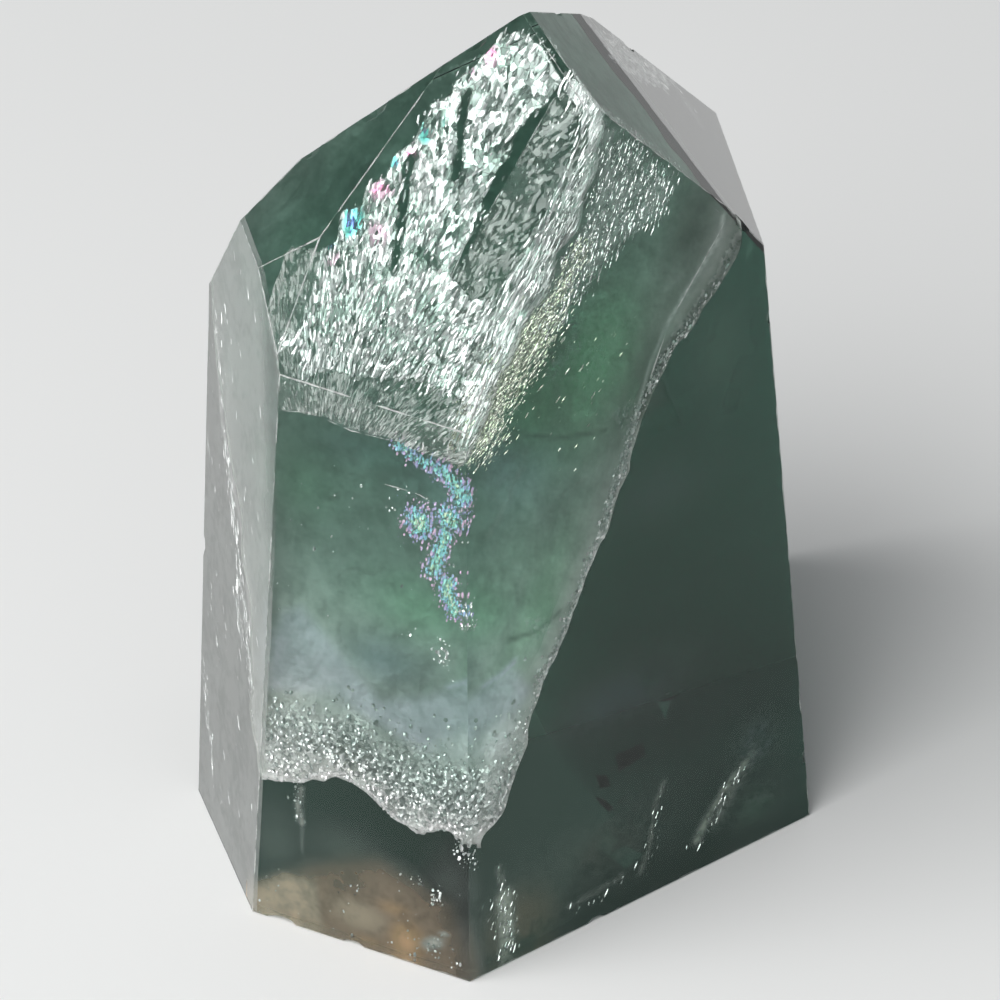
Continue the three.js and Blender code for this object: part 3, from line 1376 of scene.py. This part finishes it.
# %% [markdown]
# ## Veils of cloud and rust
#
# Thin soft layers hang a little way inside the facets: rusty stain at the foot, cloud
# and wisps on the right, a dull film in the crown, milky haze on the left. Each veil is
# one sheet parallel to its facet, 0.3 to 1.6 mm in. Mist in the volume would look as
# soft, but it renders slowly and with much grain. A veil's colours and its see-through
# gaps are painted on it, so one finish with a list of paints serves all four.


# %% Finish of the veils
def veil_material(name, colours, strength, grain):
    """Colours is a list of (attribute, colour, how solid it is)."""
    material, make = new_material(name)
    place = make.place()
    soft = make.noise(place, 300, 2.0, 0.6)
    fine = make.noise(place, 1500, 1.0, 0.6)
    colour = (0.5, 0.5, 0.5, 1)
    cover = None
    for key, tint, solid in colours:
        amount = make.attribute(key)
        colour = make.mix(make.between(amount, 0.02, 0.7), colour, tint)
        layer = amount * solid
        cover = make.larger(cover, layer) if cover else layer
    gaps = make.between(soft + (fine - 0.5) * grain, 0.25, 0.62)
    cover = cover * (gaps * (1 - strength) + strength)
    make.surface({"Base Color": colour, "Roughness": 0.6, "Alpha": cover})
    return material


def make_veil(name, plane, cell, wave, paints, inset, finish, bare=True):
    """Wave is as for wave_field, and finish is what veil_material takes."""
    veil = make_sheet(name, plane, cell, paints, waves=[wave], inset=inset, bare=bare)
    veil.data.materials.append(veil_material(*finish))
    finish_piece(veil)


print("veil maker ready")

# %% [markdown]
# ## Rust at the foot
#
# Iron has stained the foot of the stone tan and orange, close behind the front facet.
# A few grains and two white threads hang in the stain. The stain could be colour in the
# stone's volume, but it lies in thin layers, and a veil keeps their ragged edges.

# %% Front veil and its grains
FRONT_VEIL = under_facet(FRONT_FACET, 1.2)
FRONT_FLASH = (28, 3)  # how flakes behind the front facet lean to mirror the panel
FOOT_WAY = [(400, 900), (410, 800)]
FRONT_VEIL_PAINTS = {
    "brown": [
        area([(255, 890), (310, 868), (380, 862), (450, 905), (475, 985), (380, 960),
            (250, 920)], 2),
    ],
    "tan": [
        area([(240, 885), (285, 873), (312, 880), (318, 920), (330, 950), (240, 930)], 1),
        blob(360, 915, 2.4, 1.4, 0.6),
    ],
    "orange": [
        blob(407, 942, 1.3, 1.8),
        blob(395, 908, 1.4, 0.8, 0.5),
        blob(300, 925, 2.2, 0.7, 0.5),
        blob(370, 945, 1.6, 0.8, 0.5),
    ],
    "white": [
        stroke([(301, 788), (297, 806), (300, 824)], 0.3, 0.7),
        stroke([(300, 824), (301, 845), (304, 862)], 0.2, 0.35),
        blob(432, 944, 0.9, 0.5, turn=30),
        blob(444, 935, 0.4, 0.3, 0.8),
    ],
    "grey": [
        blob(275, 840, 1.8, 2.6, 0.7),
        blob(345, 855, 3, 2.2, 0.6),
        blob(450, 890, 1.6, 2.8, 0.5),
    ],
}
RUST_TINTS = [
    ("grey", (0.36, 0.42, 0.38, 1), 0.4),
    ("brown", (0.62, 0.43, 0.30, 1), 0.6),
    ("tan", (1.0, 0.79, 0.58, 1), 0.75),
    ("orange", (1.0, 0.62, 0.34, 1), 0.85),
    ("white", (1.0, 0.97, 0.90, 1), 0.9),
]
make_veil(
    "front_veil", FRONT_VEIL, 0.35, (0.5, 6.0, 6.0, 3.3), FRONT_VEIL_PAINTS, 0.1,
    ("rusty_veil", RUST_TINTS, 0.6, 0.4),
)
FOOT_GRAINS = [
    blob(431, 946, 0.9, 0.5, turn=30),
    stroke([(287, 928), (315, 936), (342, 944)], 0.25, 0.35),
    stroke([(300, 786), (296, 802), (299, 822)], 0.3, 0.5),
    area([(262, 870), (470, 870), (470, 975), (262, 915)], 0.5, 0.02),
    area([(272, 440), (462, 470), (462, 640), (272, 640)], 0.5, 0.004),
]
make_flakes(
    "foot_grains", FRONT_VEIL, FOOT_GRAINS, SCALE_SILVER, FOOT_WAY, FRONT_FLASH, seed=19,
    density=26, wide=0.16, long=0.22, thick=0.08, tilt=26, spread=0.4,
)

# %% [markdown]
# ## Cloud, silk and wisps on the right
#
# Behind the right-hand facet the stone is dark, with faint blue and green zones and a few
# pale wisps. In the wedge beside the crown a film of fine silk catches the light, and its
# lower edge is yellow-green. The silk is thin flakes that all lean nearly the same way,
# so that together they mirror the panel through this facet.

# %% Right veil
RIGHT_VEIL = under_facet(RIGHT_FACET, 1.6)
WEDGE_FILM = [
    (600, 118), (640, 150), (672, 180), (660, 215), (620, 240), (585, 290), (550, 330), (530, 345),
    (545, 300), (575, 240), (596, 190),
]
WISPS = [
    stroke([(745, 761), (728, 785), (712, 812), (697, 841)], 0.45, 0.75),
    stroke([(663, 783), (655, 805), (652, 840), (641, 872)], 0.3, 0.45),
    stroke([(622, 876), (596, 893), (567, 907)], 0.3, 0.4),
    stroke([(503, 897), (505, 925), (507, 958)], 0.8),
    stroke([(498, 868), (502, 885)], 0.3, 0.5),
]
RIGHT_VEIL_PAINTS = {
    "brown": [
        blob(520, 925, 3.4, 3.6),
        blob(600, 850, 6, 3, 0.35),
    ],
    "blue": [
        blob(620, 695, 5.5, 2.4, 0.6),
        blob(660, 490, 5, 2.4, 0.4),
        blob(756, 745, 1.6, 1.8, 0.9),
        blob(500, 470, 1.6, 2.2, 0.7, turn=-20),
    ],
    "green": [
        blob(600, 350, 3.6, 5, 0.9, turn=-20),
        blob(640, 395, 1.4, 1.4),
        blob(545, 620, 1.4, 3.4, 0.8, turn=-20),
        blob(520, 560, 2.6, 3, 0.5),
        blob(720, 350, 2.6, 5, 0.35),
        blob(757, 805, 2.4, 2, 0.45),
        blob(585, 414, 1.4, 0.6),
    ],
    "light": [
        area(WEDGE_FILM, 0.8),
        stroke([(520, 350), (560, 290), (600, 215), (636, 170)], 1.6, 0.8),
        stroke([(490, 535), (508, 500), (528, 452)], 0.3, 0.35),
    ],
    "pale": [
        blob(530, 345, 1.4, 3, turn=-42),
        blob(495, 385, 1, 2, 0.9, turn=-42),
        *WISPS,
        stroke([(754, 748), (737, 780), (716, 818)], 1, 0.42),
    ],
}
CLOUD_TINTS = [
    ("brown", (0.50, 0.36, 0.22, 1), 0.42),
    ("blue", (0.30, 0.38, 0.50, 1), 0.3),
    ("green", (0.42, 0.90, 0.58, 1), 0.38),
    ("light", (0.92, 1.0, 0.95, 1), 0.6),
    ("pale", (0.95, 1.0, 0.86, 1), 0.8),
]
make_veil(
    "right_veil", RIGHT_VEIL, 0.35, (0.5, 6.0, 6.0, 6.3), RIGHT_VEIL_PAINTS, 0.1,
    ("cloudy_veil", CLOUD_TINTS, 0.25, 0.9),
)

# %% Silk in the wedge and the yellow-green patch
SILK = {"lean": (29, -26), "thick": 0.012, "spread": 0.6, "out": 0.5, "press": 0.1}
WEDGE_WAY = [(600, 260), (625, 180)]
PATCH_WAY = [(486, 405), (560, 300)]
SILK_LINES = [
    area(WEDGE_FILM, 0.8, 0.34),
    stroke([(590, 150), (574, 190), (556, 230), (532, 290)], 0.4),
    stroke([(560, 262), (596, 214), (640, 178)], 0.4, 0.7),
    stroke([(580, 262), (618, 226), (660, 200)], 0.3, 0.6),
    stroke([(592, 196), (614, 165), (632, 148)], 0.4, 0.7),
]
PALE_GREEN = [
    stroke([(478, 438), (494, 400), (516, 362), (540, 322)], 1.4),
    stroke([(540, 322), (560, 285), (578, 250)], 0.7, 0.7),
    blob(590, 380, 3.4, 3.6, 0.012),
]
make_flakes(
    "wedge_sparkles", RIGHT_VEIL, SILK_LINES + faint(WISPS, 0.26), STEP_SILVER, WEDGE_WAY,
    seed=17, density=54, wide=0.09, long=0.42, tilt=7.5, inset=0.3, **SILK
)
make_flakes(
    "pale_green_patch", RIGHT_VEIL, PALE_GREEN, PALE_SILVER, PATCH_WAY, seed=18,
    density=110, wide=0.095, long=0.34, tilt=8, inset=0.2, **SILK
)

# %% [markdown]
# ## Painted shade and flakes under the rear crown facet
#
# The rear crown facet looks dull grey, with a bright silvery patch at its ridge. Clear
# glass alone would show the bright floor through it. So a nearly black veil paints shade
# under the facet and takes away the light from below, and flat flakes over it face so
# that they mirror the pale surroundings.

# %% Cap veil of painted shade, and its flakes
CAP_VEIL = under_facet(CAP_FACET, 0.35)
CAP_PAINTS = {
    # dark: a nearly black sheet of painted shade under the facet
    "dark": [area([(560, 0), (760, 0), (800, 260), (700, 260)], 0.5)],
    "pale": [
        blob(690, 108, 2, 1.2, 0.5),
        blob(722, 130, 0.8, 0.5, 0.5),
    ],
}
# The dark tint is painted shade; the pale tint is a lighter grey patch in it.
CAP_TINTS = [("dark", (0.02, 0.02, 0.02, 1), 1.0), ("pale", (0.35, 0.35, 0.35, 1), 0.8)]
make_veil(
    "cap_veil", CAP_VEIL, 0.4, (0.15, 3.0, 3.0, 4.3), CAP_PAINTS, 0.05,
    ("cap_painted_shade_film", CAP_TINTS, 0.9, 0.8),
)
CAP_PATCH = [(604, 40), (622, 36), (645, 52), (668, 72), (680, 84), (655, 84), (632, 74), (610, 58)]
CAP_SILVER = [
    area(CAP_PATCH, 0.4),
    stroke([(600, 36), (640, 50), (690, 92)], 0.5, 0.8),
    blob(690, 105, 1.5, 0.8, 0.12),
]
CAP_WAY = [(620, 50), (680, 84)]
make_flakes(
    "cap_flakes", CAP_VEIL, CAP_SILVER, STEP_SILVER, CAP_WAY, lean=(5, 0), seed=23,
    density=22, wide=0.34, long=0.6, thick=0.012, tilt=16, spread=0.3, out=0.15, press=0.05,
)

# %% [markdown]
# ## Milky haze and a painted reflection on the left
#
# The narrow left facet is seen at a slant, so even a thin haze makes it milky. The pale
# veil also paints in much of the facet's brightness, in place of a brighter reflection.
# A rough facet would look the same from here but wrong from the side, so the haze is a
# veil of its own. Bright streaks run down it where the great crack's rim comes near.

# %% Left veil and its streaks
LEFT_VEIL = under_facet(LEFT_FACET, 0.3)
LEFT_VEIL_PAINTS = {
    "haze": [area([(190, 200), (280, 200), (285, 920), (190, 920)], 2, 0.85)],
    "white": [
        stroke([(216, 330), (222, 420), (240, 520), (250, 610), (254, 720)], 0.8, 0.9),
        stroke([(206, 700), (212, 790), (235, 860)], 0.8, 0.4),
    ],
}
# The pale haze is partly milky stone and partly a painted reflection that brightens the facet.
MILK_TINTS = [("haze", (0.84, 0.85, 0.83, 1), 0.5), ("white", (0.95, 0.96, 0.94, 1), 0.75)]
make_veil(
    "left_veil", LEFT_VEIL, 0.4, (0.05, 5.0, 5.0, 2.3), LEFT_VEIL_PAINTS, 0.08,
    ("milky_veil_and_painted_reflection", MILK_TINTS, 0.75, 0.6), bare=False,
)
LEFT_STREAKS = [
    stroke([(213, 300), (219, 350), (223, 430)], 0.16, 0.5),
    stroke([(223, 430), (237, 540), (246, 620), (252, 700)], 0.4, 0.8),
    stroke([(240, 560), (236, 600), (243, 640)], 0.4, 0.8),
    stroke([(203, 660), (207, 710), (214, 770)], 0.3, 0.5),
    area([(205, 250), (270, 250), (265, 880), (200, 790)], 0.5, 0.008),
]
LEFT_WAY = [(250, 700), (223, 430)]
make_flakes(
    "left_streaks", LEFT_VEIL, LEFT_STREAKS, SCALE_SILVER, LEFT_WAY, lean=(30, 25), seed=24,
    density=24, wide=0.11, long=0.7, thick=0.012, tilt=12, spread=0.2,
)

# %% [markdown]
# ## Fine bright lines
#
# Where the stone has split or been knocked, a hair-fine bright line shows: along the
# ragged rim and where the straight cleavage steps end. The white threads along the
# arrises are partly such knocks and partly a painted highlight of the polished edges.
# A plain curve with a bevel would be too even. So Geometry Nodes draw each one as a thin
# uneven thread that wobbles, swells and breaks off as it follows a path just inside the skin.

# %% The thread tree
THREAD_INPUTS = {
    "Step": "Float", "Radius": "Float", "Wobble": "Float", "Break": "Float",
    "Finish": "Material",
}
THREAD_SIDES = 5


def thread_tree():
    tree, make, given = new_tree("fine_threads", "Paths", THREAD_INPUTS, "Threads")
    place = make.node("GeometryNodeInputPosition")
    curve = make.node("GeometryNodeMeshToCurve", {"Mesh": given("Paths")})
    sockets = {"Curve": curve, "Length": given("Step")}
    curve = make.node("GeometryNodeResampleCurve", sockets, mode="LENGTH")
    jitter = make.noise(place, 2600.0, 2.0, out="Color")
    jitter = make.vector("SUBTRACT", jitter, (0.5, 0.5, 0.5))
    moved = make.scaled(jitter, given("Wobble") * 2.0)
    curve = make.node("GeometryNodeSetPosition", {"Geometry": curve, "Offset": moved})
    patchy = make.noise(place, 420.0, 3.0, 0.6)
    broken = given("Break") * (make.between(patchy, 0.42, 0.52) - 1.0)
    swell = make.larger(make.between(patchy, 0.30, 0.72) + broken, 0.06)
    sockets = {"Resolution": THREAD_SIDES, "Radius": 1.0}
    profile = make.node("GeometryNodeCurvePrimitiveCircle", sockets, "Curve")
    sockets = {
        "Curve": curve,
        "Profile Curve": profile,
        "Scale": given("Radius") * swell * 1.6,
        "Fill Caps": True,
    }
    mesh = make.node("GeometryNodeCurveToMesh", sockets)
    sockets = {"Geometry": mesh, "Material": given("Finish")}
    make.node("NodeGroupOutput", {"Threads": make.node("GeometryNodeSetMaterial", sockets)})
    return tree


THREAD_TREE = thread_tree()
print("thread tree:", len(THREAD_TREE.nodes), "nodes")


# %% Making threads
def thread_material(name, colour, rough):
    material, make = new_material(name)
    fine = make.noise(make.place(), 1800, 3.0)
    darker = tuple(c * 0.6 for c in colour[:3]) + (1,)
    colour = make.mix(make.between(fine, 0.3, 0.6), darker, colour)
    make.surface({"Base Color": colour, "Roughness": rough})
    return material


# White for the threads: crushed stone on the rim and cleavage lines, a painted highlight on the
# arrises.
THREAD_WHITE = thread_material("crushed_white_and_arris_highlight", (0.98, 0.99, 0.97, 1), 0.5)


def make_threads(name, paths, step, radius, wobble, breaks, inset=0.05):
    """Threads along paths, each a list of points in metres. Sizes are in mm."""
    spots = []
    edges = []
    for path in paths:
        start = len(spots)
        spots.extend(path)
        edges.extend((k, k + 1) for k in range(start, len(spots) - 1))
    mesh = bpy.data.meshes.new(name)
    mesh.from_pydata(spots, edges, [])
    made = add_object(name, mesh)
    values = {
        "Step": step * MM,
        "Radius": radius * MM,
        "Wobble": wobble * MM,
        "Break": breaks,
        "Finish": THREAD_WHITE,
    }
    run_tree(made, THREAD_TREE, values)
    press_inside(made, inset * MM)
    finish_piece(made)


print("thread maker ready")


# %% Worn arrises with painted arris highlights
LEAST_TURN = math.radians(6)  # flatter edges than this don't show
LEAST_FACE = 3 * MM * MM
LEAST_LENGTH = 0.8 * MM
THREADLESS_REACH = 1.5 * MM


def arris_paths():
    """The straight edges between the stone's flat facets."""
    bm = merged_stone()
    paths = []
    for edge in bm.edges:
        middle = (edge.verts[0].co + edge.verts[1].co) / 2
        if (middle - corner).xy.length < THREADLESS_REACH:
            continue  # the front upright arris gets no white thread and no painted highlight
        if len(edge.link_faces) == 2 and edge.calc_face_angle(0) > LEAST_TURN:
            small = min(face.calc_area() for face in edge.link_faces)
            if small > LEAST_FACE and edge.calc_length() > LEAST_LENGTH:
                paths.append([v.co.copy() for v in edge.verts])
    bm.free()
    return paths


# White threads along the arrises: partly wear, partly a painted highlight of the polished edges.
make_threads(
    "arris_wear_and_highlights", arris_paths(), step=0.3, radius=0.055, wobble=0.04, breaks=0.45, inset=0.03
)


# %% Rim line and cleavage lines
def skin_path(points, depth):
    """A path just inside the skin, behind points of the view."""
    return [below(across, down, depth * MM) for across, down in points]


def feather_path(points, lift=0.0):
    return [FEATHER.spot(*FEATHER.at(across, down), lift) for across, down in points]


RIM_START = (262, 778)
STEP_LINES = [
    feather_path([(430, 299), (446, 291), (465, 245), (494, 203), (526, 147), (558, 91)]),
    feather_path([(279, 411), (307, 412), (327, 420), (351, 431), (389, 440)]),
    feather_path([(510, 306), (530, 272), (558, 213)], 0.1),
    feather_path([(457, 347), (490, 325), (518, 312)], 0.1),
    skin_path([(712, 206), (726, 219), (717, 237), (689, 287), (669, 323), (651, 376)], 0.15),
    skin_path([(384, 484), (402, 489), (418, 494), (428, 500)], 0.1),
]
rim_path = skin_path([RIM_START] + RIM_FRONT_LEFT[1:-1], 0.16)
make_threads("rim_line", [rim_path], step=0.12, radius=0.13, wobble=0.12, breaks=0.15)
make_threads("cleavage_lines", STEP_LINES, step=0.2, radius=0.05, wobble=0.05, breaks=0.3)

# %% [markdown]
# ## Rainbow flakes
#
# Where a crack is thinner than a few wavelengths it splits the light, so it glitters in
# pink, blue, cyan and green. A real film's hue follows its thickness, which grows from
# the rim of each patch to its middle. So the colours come from a ramp, read by how deep
# in its patch a flake sits, with a little chance added.


# %% Rainbow flakes
FILM_HUES = [
    (0.05, (0.92, 0.62, 0.84, 1)),
    (0.22, (0.66, 0.58, 0.96, 1)),
    (0.36, (0.42, 0.68, 0.95, 1)),
    (0.50, (0.38, 0.90, 0.94, 1)),
    (0.75, (0.48, 0.96, 0.80, 1)),
    (0.90, (0.80, 1.0, 0.66, 1)),
    (1.00, (0.92, 1.0, 0.96, 1)),
]


def film_material():
    """Flakes whose hue goes from the rim of a patch (0) to its middle (1)."""
    material, make = new_material("film_rainbow")
    hue = make.attribute("middle") + (make.attribute("shade") - 0.5) * 0.5
    ramp = make.node("ShaderNodeValToRGB", {"Fac": hue}, stops=FILM_HUES)
    make.surface({"Base Color": ramp, "Roughness": 0.45, "Metallic": 0.5})
    return material


FRONT_FILM = under_facet(FRONT_FACET, 0.8)
FILM_WAY = [(440, 600), (448, 520)]
FILM_PATCHES = [
    blob(419, 523, 0.8, 1.05),
    blob(449, 518, 0.8, 0.8),
    stroke([(446, 532), (440, 552), (432, 572)], 0.45, 0.8),
    stroke([(448, 582), (447, 596), (456, 612)], 0.45),
    stroke([(444, 474), (456, 484), (460, 500)], 0.55, 0.75),
    stroke([(398, 444), (416, 458), (448, 472)], 0.4, 0.7),
]
FILM_CORNERS = [(380, 430), (475, 430), (475, 630), (380, 630)]
make_flakes(
    "rainbow_flakes", FRONT_FILM, FILM_PATCHES, film_material(), FILM_WAY, FRONT_FLASH,
    seed=31, density=130, wide=0.13, long=0.27, thick=0.012, tilt=12, spread=0.3,
    box=box_of(FRONT_FILM, FILM_CORNERS, 0.5), paints={"middle": FILM_PATCHES},
)

# %% [markdown]
# ## Bright specks
#
# Single grains of dust and tiny crystals sparkle just behind the front facet. Each could
# be a mesh placed by hand. It is easier to scatter a few flakes on each small blob, so
# that every speck keeps its place and is still a little uneven.

# %% Bright specks
SPECKS = [
    blob(467, 541, 0.14, 0.14),
    blob(467, 595, 0.14, 0.14),
    blob(467, 612, 0.14, 0.2),
    blob(466, 627, 0.22, 0.36),
    blob(461, 609, 0.12, 0.12),
    blob(333, 500, 0.12, 0.12),
    blob(389, 509, 0.14, 0.1),
    blob(412, 630, 0.3, 0.12),
    blob(287, 547, 0.1, 0.1),
    blob(298, 458, 0.1, 0.1),
    blob(402, 489, 0.26, 0.12),
    blob(443, 655, 0.35, 0.9, 0.5, turn=10),
    blob(460, 848, 0.35, 0.35, 0.5),
    blob(467, 862, 0.22, 0.45, 0.5),
    blob(354, 890, 0.22, 0.1),
    blob(413, 884, 0.2, 0.16),
    blob(435, 898, 0.16, 0.4),
    blob(457, 966, 0.18, 0.14),
]
make_flakes(
    "bright_specks", FRONT_FILM, SPECKS, SCALE_SILVER, FILM_WAY, FRONT_FLASH,
    seed=35, density=80, wide=0.15, long=0.20, thick=0.012, tilt=14, spread=0.3,
)

# %% [markdown]
# ## A deeper-coloured heart
#
# Fluorite grows in zones of stronger and weaker colour. Behind the great crack the stone
# is deep green, so the right-hand facet looks almost black. This deeper zone is partly
# the stone's own colour and partly painted shade that darkens the right-hand side. A
# colour that varies through the volume would be slow to render, so the heart is a closed
# body of its own inside the stone. Its skin bends nothing; it only adds to the absorption.


# %% Heart of deep green
# Deeper absorption: partly the stone's colour zoning, partly painted shade on the right-hand side.
HEART_GREEN = (0.0, 0.36, 0.30, 1)
HEART_ABSORPTION = 62.0
HEART_RADII = (20, 17, 36)  # mm
HEART_INSET = 0.8 * MM
HEART_VIEW_POINT = (735, 420)
HEART_DEPTH = 13 * MM
BEHIND_CRACK = 2.5 * MM
OVER_BASE = 0.5 * MM
PRESSES = 6  # pressing it off one wall can push it towards another, so it takes turns


def heart_material():
    material, make = new_material("deep_green_and_painted_shade")
    clear = {
        "Base Color": (1, 1, 1, 1),
        "Roughness": 0.0,
        "IOR": 1.0,
        "Transmission Weight": 1.0,
    }
    make.surface(clear, make.absorb(HEART_GREEN, HEART_ABSORPTION))
    return material


def make_heart():
    """An egg shape, pressed flat where it would come too near a facet or the crack."""
    centre = below(*HEART_VIEW_POINT, HEART_DEPTH)
    bm = bmesh.new()
    bmesh.ops.create_icosphere(bm, subdivisions=5, radius=1.0)
    walls = facets + [
        (CRACK.normal, CRACK.reach - BEHIND_CRACK),
        (Vector((0, 0, -1)), -OVER_BASE),
    ]
    for vert in bm.verts:
        spot = centre + Vector([c * r * MM for c, r in zip(vert.co, HEART_RADII)])
        for _ in range(PRESSES):
            for normal, reach in walls:
                over = spot.dot(normal) - (reach - HEART_INSET)
                if over > 0:
                    spot -= normal * over
        vert.co = spot
    hull = bmesh.ops.convex_hull(bm, input=bm.verts[:])
    loose = [v for v in bm.verts if not v.link_faces or v in hull["geom_interior"]]
    bmesh.ops.delete(bm, geom=loose, context="VERTS")
    bmesh.ops.remove_doubles(bm, verts=bm.verts[:], dist=CLOSE)
    bmesh.ops.recalc_face_normals(bm, faces=bm.faces[:])
    mesh = bpy.data.meshes.new("deep_heart")
    bm.to_mesh(mesh)
    bm.free()
    mesh.materials.append(heart_material())
    finish_piece(add_object("deep_heart", mesh))


make_heart()
